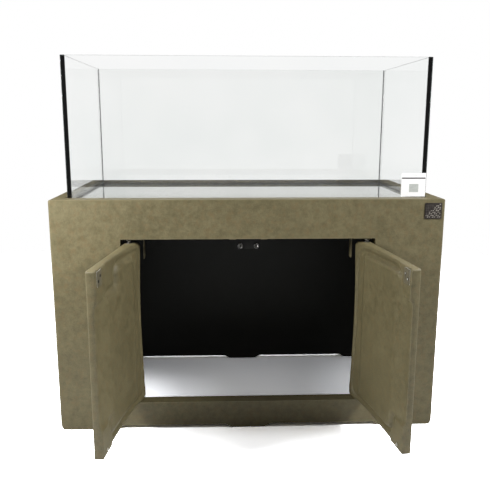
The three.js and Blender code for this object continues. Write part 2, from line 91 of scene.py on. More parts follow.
# ---- materials ---------------------------------------------------------------
class Finish:
    """A node material: one Principled shader, and short calls for the nodes that feed it."""

    def __init__(self, name, color, roughness, metallic=0.0, **uniform):
        self.material = bpy.data.materials.new(name)
        self.material.use_nodes = True
        self.tree = self.material.node_tree
        self.shader = self.tree.nodes["Principled BSDF"]
        self.set("Base Color", (*color, 1.0))
        self.set("Roughness", roughness)
        self.set("Metallic", metallic)
        for socket, value in uniform.items():
            self.set(socket.replace("_", " "), value)
        self.place = self.node("ShaderNodeTexCoord").outputs["Object"]
        self.heights = None

    def set(self, socket, value):
        self.shader.inputs[socket].default_value = value

    def node(self, kind, **settings):
        made = self.tree.nodes.new(kind)
        for key, value in settings.items():
            setattr(made, key, value)
        return made

    def feed(self, source, target):
        self.tree.links.new(source, target)

    def stretched(self, scale):
        """Object coordinates stretched along the axes."""
        mapping = self.node("ShaderNodeMapping")
        mapping.inputs["Scale"].default_value = scale
        self.feed(self.place, mapping.inputs["Vector"])
        return mapping.outputs["Vector"]

    def noise(self, scale, detail=2.0, roughness=0.5, place=None):
        made = self.node("ShaderNodeTexNoise")
        made.inputs["Scale"].default_value = scale
        made.inputs["Detail"].default_value = detail
        made.inputs["Roughness"].default_value = roughness
        self.feed(place or self.place, made.inputs["Vector"])
        return made.outputs["Fac"]

    def cells(self, scale):
        made = self.node("ShaderNodeTexVoronoi")
        made.inputs["Scale"].default_value = scale
        self.feed(self.place, made.inputs["Vector"])
        return made.outputs["Distance"]

    def remap(self, value, low, high, start=0.3, end=0.7):
        made = self.node("ShaderNodeMapRange")
        for socket, number in zip(("From Min", "From Max", "To Min", "To Max"), (start, end, low, high)):
            made.inputs[socket].default_value = number
        self.feed(value, made.inputs["Value"])
        return made.outputs["Result"]

    def blend(self, factor, first, second):
        """Colour mixed from first to second; each is a colour or another node's output."""
        made = self.node("ShaderNodeMix", data_type="RGBA")
        self.feed(factor, made.inputs["Factor"])
        for socket, value in ((made.inputs[6], first), (made.inputs[7], second)):
            if isinstance(value, tuple):
                socket.default_value = (*value, 1.0)
            else:
                self.feed(value, socket)
        return made.outputs[2]

    def combine(self, operation, first, second):
        made = self.node("ShaderNodeMath", operation=operation)
        for socket, value in zip(made.inputs, (first, second)):
            if isinstance(value, (int, float)):
                socket.default_value = value
            else:
                self.feed(value, socket)
        return made.outputs["Value"]

    def edges(self, radius):
        """1 along sharp edges and 0 on flat faces."""
        rounded = self.node("ShaderNodeBevel", samples=4)
        rounded.inputs["Radius"].default_value = radius
        facing = self.node("ShaderNodeNewGeometry")
        dot = self.node("ShaderNodeVectorMath", operation="DOT_PRODUCT")
        self.feed(rounded.outputs["Normal"], dot.inputs[0])
        self.feed(facing.outputs["Normal"], dot.inputs[1])
        return self.remap(dot.outputs["Value"], 1.0, 0.0, 0.80, 0.995)

    def color(self, output):
        self.feed(output, self.shader.inputs["Base Color"])

    def rough(self, output):
        self.feed(output, self.shader.inputs["Roughness"])

    def bump(self, height, distance, strength=1.0):
        """Adds one more layer of relief."""
        made = self.node("ShaderNodeBump")
        made.inputs["Strength"].default_value = strength
        made.inputs["Distance"].default_value = distance
        self.feed(height, made.inputs["Height"])
        if self.heights is not None:
            self.feed(self.heights, made.inputs["Normal"])
        self.heights = made.outputs["Normal"]
        self.feed(self.heights, self.shader.inputs["Normal"])


def moulded_plastic(name, dark, light, edge_wear_and_highlight, gloss):
    """Rotationally moulded polyethylene: clouds, mottling, a fine pebbled skin and paler edges, partly wear
    and partly a painted highlight.
    """
    finish = Finish(name, light, 0.5, Specular_IOR_Level=0.45)
    clouds = finish.noise(3.2, 3.0, 0.55)
    mottle = finish.noise(48.0, 6.0, 0.72)
    grain = finish.noise(300.0, 3.0, 0.6)
    weights = ((clouds, 0.25), (mottle, 0.50), (grain, 0.25))
    tone = None
    for source, weight in weights:
        part = finish.combine("MULTIPLY", source, weight)
        tone = part if tone is None else finish.combine("ADD", tone, part)
    body = finish.blend(finish.remap(tone, 0.0, 1.0, 0.40, 0.60), dark, light)
    rust = tuple((d + l) / 2 * gain for d, l, gain in zip(dark, light, (1.22, 0.95, 0.80)))
    body = finish.blend(finish.remap(finish.noise(62.0, 5.0, 0.6), 0.0, 0.4, 0.50, 0.68), body, rust)
    # Paler colour along sharp edges: partly wear, partly a painted highlight along edges and shoulders.
    edge = finish.combine("MULTIPLY", finish.edges(0.006), finish.remap(mottle, 0.35, 1.0))
    finish.color(finish.blend(edge, body, edge_wear_and_highlight))
    finish.rough(finish.remap(mottle, *gloss))
    finish.bump(finish.noise(9.0, 2.0), 0.0012, 0.35)
    finish.bump(finish.cells(340.0), 0.00025, 0.45)
    finish.bump(grain, 0.0002, 0.4)
    return finish.material


def clear_glass(name, reflection_grey, clear):
    """Float glass with soft patches of painted reflection in its tint, and smears."""
    finish = Finish(name, clear, 0.0, Transmission_Weight=1.0, IOR=1.5)
    reflection_patches = finish.noise(2.6, 2.0, 0.5)
    # Soft grey patches in the tint: painted reflection.
    finish.color(finish.blend(finish.remap(reflection_patches, 0.0, 1.0), reflection_grey, clear))
    smears = finish.noise(14.0, 4.0, 0.6, finish.stretched((1.0, 1.0, 0.35)))
    finish.rough(finish.remap(smears, 0.0, 0.003, 0.45, 0.75))
    return finish.material


def ground_edge():
    """The ground and polished edges of a pane, greyer than the clear glass."""
    finish = Finish("ground_glass_edge", (0.24, 0.32, 0.30), 0.25, Transmission_Weight=0.3, IOR=1.5)
    grinding = finish.noise(300.0, 3.0, 0.6)
    finish.color(finish.blend(finish.remap(grinding, 0.0, 1.0), (0.14, 0.21, 0.19), (0.26, 0.34, 0.32)))
    finish.rough(finish.remap(grinding, 0.18, 0.35))
    finish.bump(grinding, 0.0002, 0.3)
    return finish.material


def silicone():
    finish = Finish("black_silicone", (0.010, 0.011, 0.013), 0.35, Specular_IOR_Level=0.5)
    ripples = finish.noise(60.0, 3.0, 0.55, finish.stretched((1.0, 1.0, 0.2)))
    finish.color(finish.blend(finish.remap(ripples, 0.0, 1.0), (0.007, 0.008, 0.010), (0.020, 0.021, 0.024)))
    finish.rough(finish.remap(ripples, 0.25, 0.45))
    finish.bump(ripples, 0.0006, 0.5)
    return finish.material


def foam():
    finish = Finish("pale_foam", (0.29, 0.295, 0.25), 0.9)
    pores = finish.cells(900.0)
    drift = finish.noise(6.0, 3.0)
    finish.color(finish.blend(finish.remap(drift, 0.0, 1.0), (0.260, 0.265, 0.225), (0.320, 0.325, 0.280)))
    finish.rough(finish.remap(pores, 0.80, 0.95))
    finish.bump(pores, 0.0004, 0.6)
    return finish.material


def metal(name, dark, light, gloss, stretch, metallic=1.0):
    """Brushed or plated metal with fine streaks."""
    finish = Finish(name, light, 0.3, metallic)
    streaks = finish.noise(240.0, 4.0, 0.65, finish.stretched(stretch))
    tarnish = finish.noise(45.0, 3.0, 0.6)
    tone = finish.combine("MULTIPLY", streaks, finish.remap(tarnish, 0.7, 1.3))
    finish.color(finish.blend(finish.remap(tone, 0.0, 1.0), dark, light))
    finish.rough(finish.remap(streaks, *gloss))
    finish.bump(streaks, 0.0001, 0.4)
    return finish.material


def soft_plastic(name, dark, light, gloss, **uniform):
    """Nylon, rubber or printed film: faint clouding and a fine skin."""
    finish = Finish(name, light, 0.5, **uniform)
    clouding = finish.noise(120.0, 4.0, 0.6)
    finish.color(finish.blend(finish.remap(clouding, 0.0, 1.0), dark, light))
    finish.rough(finish.remap(clouding, *gloss))
    finish.bump(finish.noise(1400.0, 2.0), 0.0001, 0.4)
    return finish.material


def stage_floor():
    """Pale floor that is solid round the object and fades out into the white surroundings."""
    finish = Finish("studio_floor", (0.86, 0.86, 0.87), 0.75, Specular_IOR_Level=0.0)
    drift = finish.noise(0.8, 2.0)
    paint = finish.blend(finish.remap(drift, 0.0, 1.0), (0.82, 0.83, 0.86), (0.85, 0.86, 0.90))
    gain = finish.node("ShaderNodeVectorMath", operation="SCALE")
    finish.feed(paint, gain.inputs[0])
    seen = finish.node("ShaderNodeLightPath").outputs["Is Camera Ray"]
    finish.feed(finish.remap(seen, 1.0, FLOOR_GAIN, 0.0, 1.0), gain.inputs["Scale"])
    finish.color(gain.outputs["Vector"])
    reach = finish.node("ShaderNodeVectorMath", operation="LENGTH")
    finish.feed(finish.place, reach.inputs[0])
    finish.feed(finish.remap(reach.outputs["Value"], 1.0, 0.0, 1.7, 3.4), finish.shader.inputs["Alpha"])
    return finish.material


KHAKI = moulded_plastic("moulded_khaki", (0.088, 0.075, 0.034), (0.148, 0.126, 0.062), (0.210, 0.185, 0.110),
                        (0.46, 0.62))
# Near-black khaki for the cabinet's inside faces: painted shade.
INTERIOR_SHADE = moulded_plastic("painted_interior_shade", (0.006, 0.006, 0.004), (0.012, 0.012, 0.008), (0.013, 0.012, 0.009),
                       (0.55, 0.70))
PAINT = moulded_plastic("painted_khaki", (0.105, 0.088, 0.042), (0.135, 0.115, 0.058), (0.20, 0.175, 0.11),
                        (0.38, 0.48))
# One float glass in three tints: the back pane darker as painted shade, the side and bottom panes lighter as
# painted light.
GLASS = clear_glass("tank_glass", (0.915, 0.930, 0.925), (0.965, 0.968, 0.965))
LIGHTENED_SIDE_GLASS = clear_glass("lightened_side_glass", (0.965, 0.975, 0.972), (0.990, 0.992, 0.990))
GLASS_EDGE = ground_edge()
DARKENED_BACK_GLASS = clear_glass("back_glass", (0.900, 0.915, 0.905), (0.955, 0.958, 0.952))
SILICONE = silicone()
FOAM = foam()
BRIGHT = metal("bright_steel", (0.45, 0.45, 0.43), (0.74, 0.73, 0.70), (0.18, 0.35), (1.0, 1.0, 0.06))
DARK = metal("dark_steel", (0.035, 0.034, 0.032), (0.085, 0.083, 0.078), (0.35, 0.55), (1.0, 1.0, 1.0))
ZINC = metal("zinc_plate", (0.11, 0.095, 0.055), (0.19, 0.17, 0.115), (0.40, 0.55), (1.0, 1.0, 0.06), 0.3)
# Bright chrome used only for painted highlights: on the strike plates' edges and in their screws' recesses.
GLINT_CHROME = metal("painted_glint_chrome", (0.62, 0.61, 0.58), (0.85, 0.84, 0.81), (0.30, 0.45), (1.0, 1.0, 1.0), 0.2)
BLACKED = metal("blacked_steel", (0.005, 0.005, 0.004), (0.013, 0.012, 0.010), (0.50, 0.65), (1.0, 1.0, 1.0),
                0.4)
BADGE = metal("badge_metal", (0.026, 0.021, 0.018), (0.062, 0.052, 0.045), (0.35, 0.55), (0.1, 1.0, 1.0), 0.5)
# Pale badge metal: painted highlight on the knurling's facets.
FACET_HIGHLIGHT = metal("badge_facet_highlight", (0.20, 0.18, 0.15), (0.42, 0.39, 0.34), (0.30, 0.45), (0.1, 1.0, 1.0), 0.4)
NYLON = soft_plastic("nylon", (0.012, 0.012, 0.011), (0.028, 0.027, 0.025), (0.38, 0.55))
RUBBER = soft_plastic("clear_rubber", (0.42, 0.40, 0.34), (0.52, 0.50, 0.44), (0.25, 0.4),
                      Transmission_Weight=0.3)
PAPER = soft_plastic("label_film", (0.84, 0.84, 0.84), (0.90, 0.90, 0.90), (0.30, 0.45))
INK = soft_plastic("label_ink", (0.055, 0.050, 0.050), (0.090, 0.085, 0.082), (0.4, 0.55))
GREY_INK = soft_plastic("label_grey", (0.38, 0.40, 0.38), (0.50, 0.52, 0.50), (0.4, 0.55))
CERAMIC = soft_plastic("magnet_ceramic", (0.020, 0.020, 0.021), (0.045, 0.045, 0.046), (0.45, 0.6))


# ---- mesh helpers ------------------------------------------------------------
def new_object(name, shape, materials, smooth_angle=30.0):
    """An object from a bmesh, shaded smooth except across edges sharper than smooth_angle."""
    bmesh.ops.recalc_face_normals(shape, faces=shape.faces)
    mesh = bpy.data.meshes.new(name)
    shape.to_mesh(mesh)
    shape.free()
    for material in materials:
        mesh.materials.append(material)
    mesh.shade_smooth()
    mesh.set_sharp_from_angle(angle=math.radians(smooth_angle))
    made = bpy.data.objects.new(name, mesh)
    bpy.context.scene.collection.objects.link(made)
    return made


def flat_faced(piece):
    """Keeps the shading of large faces flat, so that only their rounded edges turn the light."""
    modifier = piece.modifiers.new("face normals", "WEIGHTED_NORMAL")
    modifier.mode = "FACE_AREA"
    modifier.weight = 100
    modifier.keep_sharp = True
    return piece


def settle(piece, body, slot, *nodes):
    """Puts a finished piece on its body and hides the CAD nodes it stands for; slot is not used."""
    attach(piece, body)
    if nodes:
        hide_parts(*nodes)
    return piece


def merged(node):
    """A bmesh of a CAD node whose flat faces are whole again."""
    shape = bmesh.new()
    shape.from_mesh(frame["nodes"][node].data)
    bmesh.ops.remove_doubles(shape, verts=shape.verts, dist=1e-6)
    bmesh.ops.dissolve_limit(shape, angle_limit=math.radians(0.5), verts=shape.verts, edges=shape.edges)
    shape.faces.ensure_lookup_table()
    for face in shape.faces:
        face.material_index = 0
    return shape


def round_edges(shape, radius, segments=3, angle=25.0):
    sharp = [edge for edge in shape.edges if edge.calc_face_angle(0.0) > math.radians(angle)]
    bmesh.ops.bevel(shape, geom=sharp, offset=radius, segments=segments, profile=0.5, affect="EDGES",
                    clamp_overlap=True)


def rounded(name, node, material, radius, segments=3):
    """A piece with a CAD node's shape and rounded edges."""
    shape = merged(node)
    round_edges(shape, radius, segments)
    return flat_faced(new_object(name, shape, [material], 60.0))


def lofted(rings, caps=True):
    """A bmesh skinned over rings of points, each ring closed and of the same count."""
    shape = bmesh.new()
    rows = [[shape.verts.new(point) for point in ring] for ring in rings]
    count = len(rows[0])
    for below, above in zip(rows, rows[1:]):
        for i in range(count):
            j = (i + 1) % count
            shape.faces.new((below[i], below[j], above[j], above[i]))
    if caps:
        shape.faces.new(rows[0])
        shape.faces.new(rows[-1])
    return shape


def turned(profile, place, steps=40, materials=None):
    """A bmesh turned round the local Z axis from (radius, height) points, moved by the matrix place."""
    shape = bmesh.new()
    rows = []
    for radius, height in profile:
        if radius == 0.0:
            rows.append([shape.verts.new(place @ Vector((0.0, 0.0, height)))])
            continue
        angles = (2.0 * math.pi * i / steps for i in range(steps))
        rows.append([shape.verts.new(place @ Vector((radius * math.cos(t), radius * math.sin(t), height)))
                     for t in angles])
    for index, (first, second) in enumerate(zip(rows, rows[1:])):
        for i in range(steps):
            j = (i + 1) % steps
            corners = [first[i % len(first)], first[j % len(first)], second[j % len(second)],
                       second[i % len(second)]]
            unique = list(dict.fromkeys(corners))
            if len(unique) > 2:
                face = shape.faces.new(unique)
                face.material_index = materials[index] if materials else 0
    return shape


def carve(piece, cutter):
    """Cuts the cutter's shape out of the piece, and removes the cutter."""
    modifier = piece.modifiers.new("cut", "BOOLEAN")
    modifier.operation = "DIFFERENCE"
    modifier.solver = "EXACT"
    modifier.object = cutter
    bpy.context.view_layer.update()
    evaluated = piece.evaluated_get(bpy.context.evaluated_depsgraph_get())
    mesh = bpy.data.meshes.new_from_object(evaluated)
    piece.modifiers.clear()
    piece.data = mesh
    mesh.shade_smooth()
    mesh.set_sharp_from_angle(angle=math.radians(30.0))
    bpy.data.objects.remove(cutter)


def block(low, high):
    """A bmesh box between two corners."""
    shape = bmesh.new()
    bmesh.ops.create_cube(shape, size=1.0)
    size = [b - a for a, b in zip(low, high)]
    middle = [(a + b) / 2 for a, b in zip(low, high)]
    bmesh.ops.scale(shape, vec=size, verts=shape.verts)
    bmesh.ops.translate(shape, vec=middle, verts=shape.verts)
    return shape


def smooth_step(value, start, end):
    t = min(1.0, max(0.0, (value - start) / (end - start)))
    return t * t * (3.0 - 2.0 * t)


def mixed(first, second, factor):
    return first + (second - first) * factor


def softened_min(first, second, width):
    h = max(width - abs(first - second), 0.0) / width
    return min(first, second) - h * h * width / 4.0


# ---- cabinet -----------------------------------------------------------------
def round_mouth(shape):
    """A wider roll on the mouth of the recess that the tank stands in."""
    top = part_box("cabinet_shell")[1].z

    def on_mouth(point):
        return (abs(point.z - top) < 1e-4 and abs(point.x) < MOUTH["x"]
                and MOUTH["front"] < point.y < MOUTH["back"])

    mouth = [edge for edge in shape.edges if all(on_mouth(v.co) for v in edge.verts)]
    bmesh.ops.bevel(shape, geom=mouth, offset=MOUTH_ROUND, segments=5, profile=0.5, affect="EDGES",
                    clamp_overlap=True)


def cabinet_shell():
    """The moulding with rounded edges; its inside faces are painted near-black as shade."""
    shape = merged("cabinet_shell")
    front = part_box("cabinet_shell")[0].y
    for face in shape.faces:
        inside = all(
            abs(v.co.x) < SHADED_INTERIOR["x"]
            and front + SHADED_INTERIOR["front"] < v.co.y < front + SHADED_INTERIOR["back"]
            and v.co.z < SHADED_INTERIOR["top"]
            for v in face.verts
        )
        # Inside faces take the near-black painted shade.
        face.material_index = 1 if inside and face.calc_area() > SHADE_MIN_AREA else 0
    round_mouth(shape)
    round_edges(shape, SHELL_ROUND)
    piece = flat_faced(new_object("moulded_cabinet", shape, [KHAKI, INTERIOR_SHADE], 60.0))
    settle(piece, CABINET_BODY, "moulded_khaki", "cabinet_shell")


# ---- tank --------------------------------------------------------------------
def pane(side, face_axis, materials):
    """A pane with its arrises taken off and its ground edges marked."""
    shape = merged(f"{side}_pane")
    for face in shape.faces:
        face.material_index = 0 if abs(face.normal[face_axis]) > 0.5 else 1
    round_edges(shape, 0.0008, 2)
    piece = flat_faced(new_object(f"{side}_glass", shape, materials, 60.0))
    settle(piece, CABINET_BODY, "tank_glass", f"{side}_pane")


def tank():
    # The back pane gets the darkened tint and the side and bottom panes the lightened one: painted shade and
    # painted light.
    for side, face_axis, glass in (("front", 1, GLASS), ("back", 1, DARKENED_BACK_GLASS), ("left", 0, LIGHTENED_SIDE_GLASS),
                                   ("right", 0, LIGHTENED_SIDE_GLASS), ("bottom", 2, LIGHTENED_SIDE_GLASS)):
        pane(side, face_axis, [glass, GLASS_EDGE])
    seams = [name for name in frame["nodes"] if name.endswith("_seam")]
    for node in seams:
        piece = rounded(f"{node}_strip", node, SILICONE, 0.0002, 2)
        settle(piece, CABINET_BODY, "black_silicone", node)
    beads()
    foam_sheet()


def foam_sheet():
    """The mat under the tank, its top held just clear of the glass."""
    clear_of_glass = 0.0003
    middle = middle_of("foam_mat").z
    shape = merged("foam_mat")
    for vert in shape.verts:
        if vert.co.z > middle:
            vert.co.z -= clear_of_glass
    round_edges(shape, 0.0015)
    piece = flat_faced(new_object("foam_sheet", shape, [FOAM], 60.0))
    settle(piece, CABINET_BODY, "pale_foam", "foam_mat")


def bead(name, start, end, across, inward, size):
    """A concave fillet of silicone laid in the corner from start to end."""
    steps = 6
    outline = [Vector((0, 0, 0))]
    for i in range(steps + 1):
        t = math.pi / 2 * i / steps
        outline.append(across * size * (1 - math.sin(t)) + inward * size * (1 - math.cos(t)))
    shape = lofted([[start + p for p in outline], [end + p for p in outline]])
    settle(new_object(name, shape, [SILICONE], 40.0), CABINET_BODY, "black_silicone")


def beads():
    """Silicone fillets in the four upright corners and round the floor of the tank."""
    size = 0.0016
    low_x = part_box("left_pane")[1].x
    high_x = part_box("right_pane")[0].x
    low_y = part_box("front_pane")[1].y
    high_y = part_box("back_pane")[0].y
    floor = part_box("bottom_pane")[1].z
    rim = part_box("front_pane")[1].z
    right, back, up = Vector((1, 0, 0)), Vector((0, 1, 0)), Vector((0, 0, 1))
    for x_name, x, x_way in (("left", low_x, right), ("right", high_x, -right)):
        for y_name, y, y_way in (("front", low_y, back), ("back", high_y, -back)):
            bead(f"{y_name}_{x_name}_bead", Vector((x, y, floor + size)), Vector((x, y, rim - 0.002)),
                 x_way, y_way, size)
        bead(f"{x_name}_floor_bead", Vector((x, low_y, floor)), Vector((x, high_y, floor)), x_way, up, size)
    for y_name, y, y_way in (("front", low_y, back), ("back", high_y, -back)):
        bead(f"{y_name}_floor_bead", Vector((low_x, y, floor)), Vector((high_x, y, floor)), y_way, up, size)


# ---- doors -------------------------------------------------------------------
def door_place(side_name):
    """Matrix from door coordinates (along, inward, up) to the row frame, door open as at rest."""
    side = SIDES[side_name]
    joint = JOINTS[f"{side_name}_door_hinge"]
    angle = math.radians(joint["range_deg"][1])
    pivot = joint["pos_m"]
    along = (-side * math.cos(angle), -math.sin(angle), 0.0)
    inward = (-side * math.sin(angle), math.cos(angle), 0.0)
    columns = (along, inward, (0.0, 0.0, 1.0), (pivot[0], pivot[1], 0.0))
    return Matrix([[column[row] for column in columns] for row in range(3)] + [[0.0, 0.0, 0.0, 1.0]])


def heel_curve():
    """Points of the inner face from the border to the heel, as (along, inward)."""
    start, first = Vector((0.3085, DOOR["border"])), Vector((0.150, DOOR["border"]))
    second, end = Vector((0.062, 0.020)), Vector((0.004, DOOR["heel"]))
    points = []
    for i in range(41):
        t = i / 40
        u = 1 - t
        points.append(start * u ** 3 + first * 3 * u * u * t + second * 3 * u * t * t + end * t ** 3)
    return points


HEEL_CURVE = heel_curve()


def ogee(along):
    """Level of the inner face without its panel, groove and blocks."""
    if along >= HEEL_CURVE[0].x:
        return DOOR["border"]
    if along <= HEEL_CURVE[-1].x:
        return DOOR["heel"]
    for near, far in zip(HEEL_CURVE, HEEL_CURVE[1:]):
        if far.x <= along <= near.x:
            return mixed(near.y, far.y, (near.x - along) / (near.x - far.x))
    return DOOR["border"]


def distance_to_rect(a, z, low_a, high_a, low_z, high_z, corner):
    """Signed distance to a rectangle with rounded corners, negative inside."""
    da = abs(a - (low_a + high_a) / 2) - (high_a - low_a) / 2 + corner
    dz = abs(z - (low_z + high_z) / 2) - (high_z - low_z) / 2 + corner
    outside = math.hypot(max(da, 0.0), max(dz, 0.0))
    return outside + min(max(da, dz), 0.0) - corner


def shoulder(depth):
    """0 at the foot of the panel's edge and 1 from depth 1 on: steep at the foot, rounded over above it."""
    t = min(1.0, max(0.0, depth))
    return 1.0 - (1.0 - t) ** 1.9


def inner_face(side_name, a, z):
    """Level of the door's inner face: heel, border, corner blocks and the raised panel in its groove.

    The panel falls off towards the free edge and runs out through it between the blocks.
    """
    reach, corner = UPPER_PANEL[side_name]
    groove, roll = GROOVE[side_name]
    base = ogee(a)
    t = (z - SCALLOP["low"]) / SCALLOP["span"]
    if 0.0 < t < 1.0:
        base = softened_min(base, SCALLOP["brim"] - SCALLOP["depth"] * t * (1 - t), 0.006)
    proud = min(base + DOOR["pillow"] * smooth_step(a, 0.044, 0.075), DOOR["heel"])
    panel = mixed(proud, DOOR["panel"], smooth_step(a, 0.29, 0.397))
    base = mixed(base, DOOR["face"], smooth_step(a, DOOR["block"] - 0.003, DOOR["block"] + 0.003))
    middle = distance_to_rect(a, z, PANEL["near"], 0.5, PANEL["block_low"], PANEL["block_high"], 0.020)
    lower = distance_to_rect(a, z, PANEL["near"], DOOR["block"], PANEL["low"], 0.45, 0.034)
    upper = distance_to_rect(a, z, PANEL["near"], reach, 0.40, PANEL["high"], corner)
    edge = softened_min(softened_min(middle, lower, 0.020), upper, 0.020)
    clear_of_strike = 1.0 - smooth_step(a, 0.325, 0.345)
    base -= groove * (1.0 - smooth_step(edge, 0.004, 0.016)) * clear_of_strike
    return mixed(base, panel, shoulder(-edge / roll))


def spread(start, end, step):
    count = max(1, round(abs(end - start) / step))
    return [mixed(start, end, i / count) for i in range(count)]


def door_levels():
    """Heights of the door's sections, closer together where the face changes."""
    low, high = door_span()
    edge = DOOR["edge"]
    stops = [low + edge, 0.116, 0.160, 0.208, 0.566, 0.612, 0.654, high - edge]
    steps = [0.004, 0.0022, 0.0030, 0.009, 0.0030, 0.0020, 0.004]
    levels = []
    for start, end, step in zip(stops, stops[1:], steps):
        levels += spread(start, end, step)
    return levels + [stops[-1]]


def door_span():
    low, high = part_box("left_door")
    return low.z, high.z


def arc(centre, radius, start, end, steps):
    """Points of a turn from start to end degrees, the last one left out."""
    return [(centre[0] + radius * math.cos(math.radians(mixed(start, end, i / steps))),
             centre[1] + radius * math.sin(math.radians(mixed(start, end, i / steps))))
            for i in range(steps)]


def door_ring(side_name, z):
    """The door's section at height z, as (along, inward) points."""
    length, face, edge = DOOR["length"], DOOR["face"], DOOR["edge"]
    heel_back = DOOR["heel_back"]
    back_angle = math.degrees(math.asin(face / heel_back))
    top = inner_face(side_name, length - edge, z)
    corner = min(edge, (top + face) / 2)
    ring = [(a, -face) for a in spread(0.0, length - edge, 0.03)]
    ring += arc((length - edge, -face + edge), edge, -90, 0, 5)
    ring += arc((length - corner, top - corner), corner, 0, 90, 5)
    stops = [length - edge, 0.322, 0.298, 0.222, 0.196, 0.076, 0.024, -0.019]
    steps = [0.004, 0.0016, 0.005, 0.002, 0.005, 0.003, 0.0018]
    for start, end, step in zip(stops, stops[1:], steps):
        ring += [(a, inner_face(side_name, a, z)) for a in spread(start, end, step)]
    heel = inner_face(side_name, -0.019, z)
    ring += arc((-0.019, heel - 0.006), 0.006, 90, 180, 5)
    ring += [(-heel_back, mixed(heel - 0.006, 0.0, i / 5)) for i in range(5)]
    ring += arc((0.0, 0.0), heel_back, 180, 180 + back_angle, 5)
    ring += [(a, -face) for a in spread(-math.sqrt(heel_back ** 2 - face ** 2), 0.0, 0.006)]
    return ring


def drawn_in(ring, inset):
    """The ring moved inwards by inset, along its own normals."""
    count = len(ring)
    moved = []
    for i, (a, n) in enumerate(ring):
        before, after = ring[i - 1], ring[(i + 1) % count]
        da, dn = after[0] - before[0], after[1] - before[1]
        size = math.hypot(da, dn) or 1.0
        moved.append((a - dn / size * inset, n + da / size * inset))
    return moved


def corner_shrink(z, low, high, corner):
    """How far a rounded corner has drawn its end in at height z."""
    near = min(z - low, high - z)
    if near >= corner:
        return 0.0
    return corner - math.sqrt(corner ** 2 - (corner - max(near, 0.0)) ** 2)


def door_section(side_name, z, inset, place):
    low, high = door_span()
    edge = DOOR["edge"]
    ring = door_ring(side_name, min(max(z, low + edge), high - edge))
    free = corner_shrink(z, low, high, DOOR["free_round"])
    hinge = corner_shrink(z, low, high, DOOR["hinge_round"])
    heel = corner_shrink(z, low, high, DOOR["heel_round"])
    shaped = []
    for a, n in drawn_in(ring, inset):
        if a > DOOR["length"] - 0.02:
            a -= free * smooth_step(a, DOOR["length"] - 0.02, DOOR["length"] - 0.004)
        if a < 0.0:
            a += hinge * min(1.0, -a / DOOR["heel_back"])
        n -= heel * smooth_step(n, 0.010, 0.030)
        shaped.append(place @ Vector((a, n, z)))
    return shaped


def door_leaf(side_name):
    """The moulded door, skinned over its sections with rolled top and bottom edges."""
    place = door_place(side_name)
    low, high = door_span()
    edge = DOOR["edge"]
    turns = [math.radians(angle) for angle in (0, 18, 36, 54, 72)]
    rings = [door_section(side_name, low + edge * (1 - math.sin(t)), edge * (1 - math.cos(t)), place)
             for t in reversed(turns)]
    rings += [door_section(side_name, z, 0.0, place) for z in door_levels()[1:-1]]
    for t in turns:
        z = high - edge * (1 - math.sin(t))
        rings.append(door_section(side_name, z, edge * (1 - math.cos(t)), place))
    piece = new_object(f"{side_name}_door_leaf", lofted(rings), [KHAKI], 50.0)
    settle(piece, f"{side_name}_door_body", "moulded_khaki", f"{side_name}_door")


# ---- hardware ----------------------------------------------------------------
def place_at(centre, axis):
    """Matrix that stands the local Z axis along axis at centre."""
    turn = Vector(axis).to_track_quat("Z", "Y").to_matrix().to_4x4()
    return Matrix.Translation(centre) @ turn


def middle_of(node):
    low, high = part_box(node)
    return (low + high) / 2


def screw(name, node, axis, body, slot, material, radius, height, recess_highlight=None):
    """A domed screw head with a cross recess, its underside on the face it holds.

    core colours the cross recess with a painted highlight. A head on an open door stands askew in its node's
    box, so there the node's middle is the head's middle.
    """
    low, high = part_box(node)
    axis = Vector(axis).normalized()
    centre = middle_of(node)
    half = sum(abs(axis[i]) * (high[i] - low[i]) / 2 for i in range(3))
    if abs(axis.z) < 0.5 and abs(axis.x) > 0.1:
        half = height / 2
    base = centre - axis * half
    profile = [(0.0, 0.0), (radius, 0.0), (radius, height * 0.25)]
    profile += [(radius * math.cos(math.radians(t)), height * (0.25 + 0.75 * math.sin(math.radians(t))))
                for t in (20, 40, 60, 78)]
    profile.append((0.0, height))
    place = place_at(base, axis)
    # The recess colour is a painted highlight: bright specks in the head.
    head = new_object(name, turned(profile, place, 28), [material, recess_highlight or material])
    for turn in (0.0, math.pi / 2):
        slot_shape = block((-radius * 0.7, -radius * 0.22, height * 0.4),
                           (radius * 0.7, radius * 0.22, height * 2))
        slot_shape.transform(place @ Matrix.Rotation(turn + 0.5, 4, "Z"))
        for face in slot_shape.faces:
            face.material_index = 1
        carve(head, new_object("cutter", slot_shape, [material, recess_highlight or material]))
    settle(head, body, slot, node)


def strike_plate(side_name):
    """Steel plate on the upper free corner, with countersunk screws."""
    node = f"{side_name}_strike_plate"
    body = f"{side_name}_door_body"
    inward = door_place(side_name).to_3x3() @ Vector((0, 1, 0))
    shape = merged(node)
    round_edges(shape, 0.0005, 2)
    for face in shape.faces:
        # The plate's edges get the bright chrome: a painted highlight.
        face.material_index = 0 if face.normal.dot(inward) > 0.95 else 1
    piece = flat_faced(new_object(f"{side_name}_catch_strike", shape, [ZINC, GLINT_CHROME], 60.0))
    settle(piece, body, "bright_steel", node)
    for number in (1, 2):
        screw(f"{side_name}_strike_screw_head_{number}", f"{side_name}_strike_screw_{number}", inward, body,
              "dark_steel", BLACKED, 0.0044, 0.0012, GLINT_CHROME)


